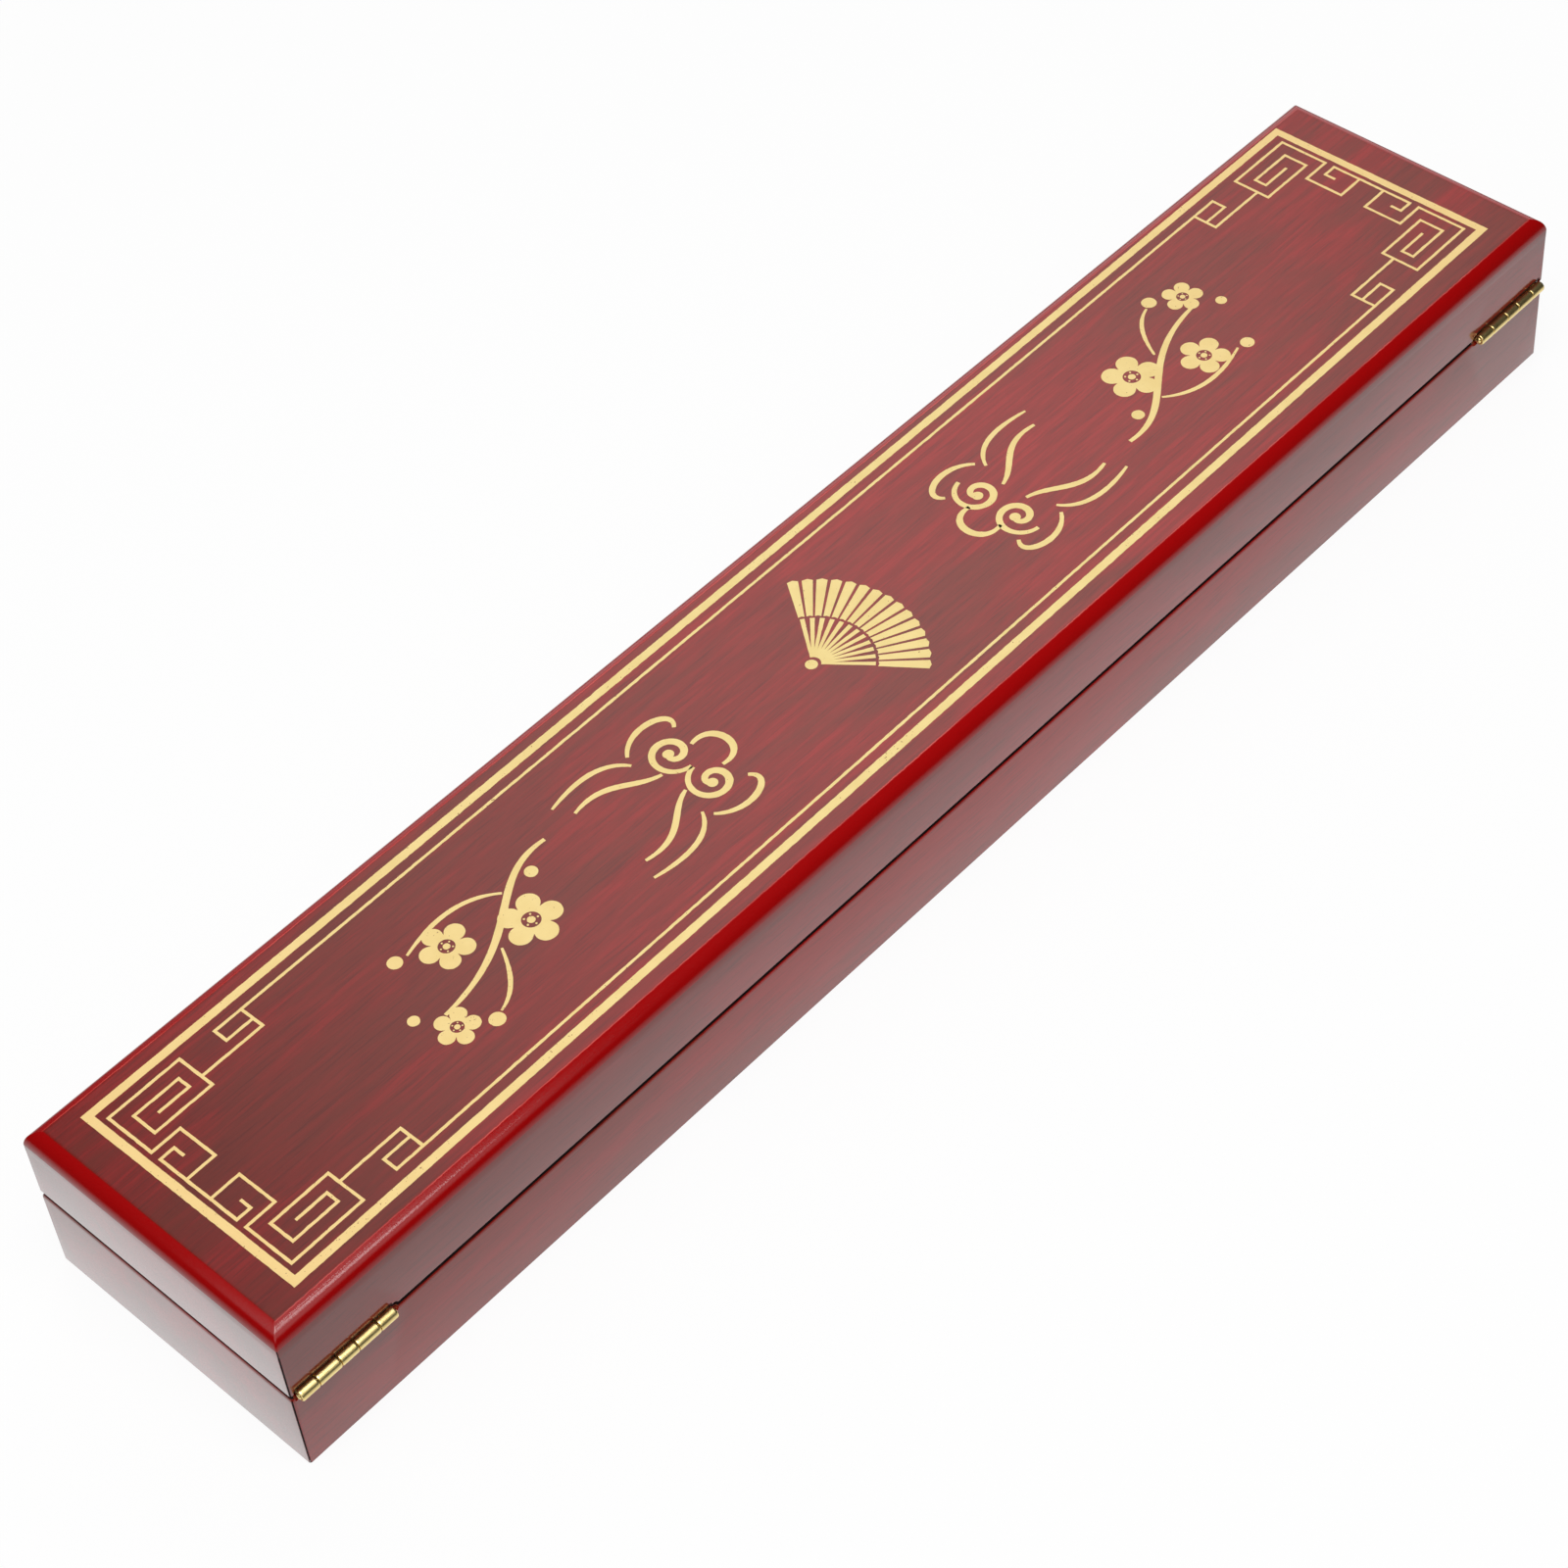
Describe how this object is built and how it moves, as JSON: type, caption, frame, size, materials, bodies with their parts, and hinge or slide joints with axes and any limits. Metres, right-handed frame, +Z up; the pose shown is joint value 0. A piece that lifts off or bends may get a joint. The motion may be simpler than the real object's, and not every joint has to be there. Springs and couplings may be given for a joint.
{
  "type": "fan box",
  "caption": "Long lacquered wooden box for a closed folding fan: hinged lid with a gold fret border, brass butt hinges, brass hasp clasp and satin lining with a fan recess.",
  "frame": {"origin": "centre of the underside, on the surface that the box stands on", "axes": "+X along the box, +Y towards the hinges at the back, +Z up through the lid"},
  "size_m": [0.36, 0.073, 0.0376],
  "materials": {
    "lacquered_wood": "clear-coated dark red lacquer over streaked wood",
    "bottom_board": "matt stained board",
    "brass": "polished brass",
    "satin": "golden satin over foam",
    "gold_print": "flat gold print"
  },
  "bodies": {
    "base": {"base_back_wall": "lacquered_wood", "base_front_wall": "lacquered_wood", "base_left_wall": "lacquered_wood", "base_right_wall": "lacquered_wood", "base_bottom_panel": "bottom_board", "fan_cradle": "satin", "hinge_left_base_leaf": "brass", "hinge_left_base_leaf_nail_1": "brass", "hinge_left_base_leaf_nail_2": "brass", "hinge_left_pin": "brass", "hinge_right_base_leaf": "brass", "hinge_right_base_leaf_nail_1": "brass", "hinge_right_base_leaf_nail_2": "brass", "hinge_right_pin": "brass", "clasp_keeper": "brass", "clasp_keeper_nail_1": "brass", "clasp_keeper_nail_2": "brass"},
    "lid": {"lid_back_wall": "lacquered_wood", "lid_front_wall": "lacquered_wood", "lid_left_wall": "lacquered_wood", "lid_right_wall": "lacquered_wood", "lid_top_panel": "lacquered_wood", "lid_pad": "satin", "hinge_left_lid_leaf": "brass", "hinge_left_lid_leaf_nail_1": "brass", "hinge_left_lid_leaf_nail_2": "brass", "hinge_right_lid_leaf": "brass", "hinge_right_lid_leaf_nail_1": "brass", "hinge_right_lid_leaf_nail_2": "brass", "clasp_plate": "brass", "clasp_pin": "brass", "clasp_plate_nail_1": "brass", "clasp_plate_nail_2": "brass"},
    "clasp": {"clasp_tongue": "brass"}
  },
  "joints": [
    {"name": "lid_hinge", "type": "hinge", "parent": "base", "child": "lid", "pos_m": [0, 0.0335, 0.0202], "axis": [-1, 0, 0], "range_deg": [0, 180]},
    {"name": "clasp_hinge", "type": "hinge", "parent": "lid", "child": "clasp", "pos_m": [0, -0.0345, 0.0244], "axis": [-1, 0, 0], "range_deg": [-12, 120]}
  ]
}
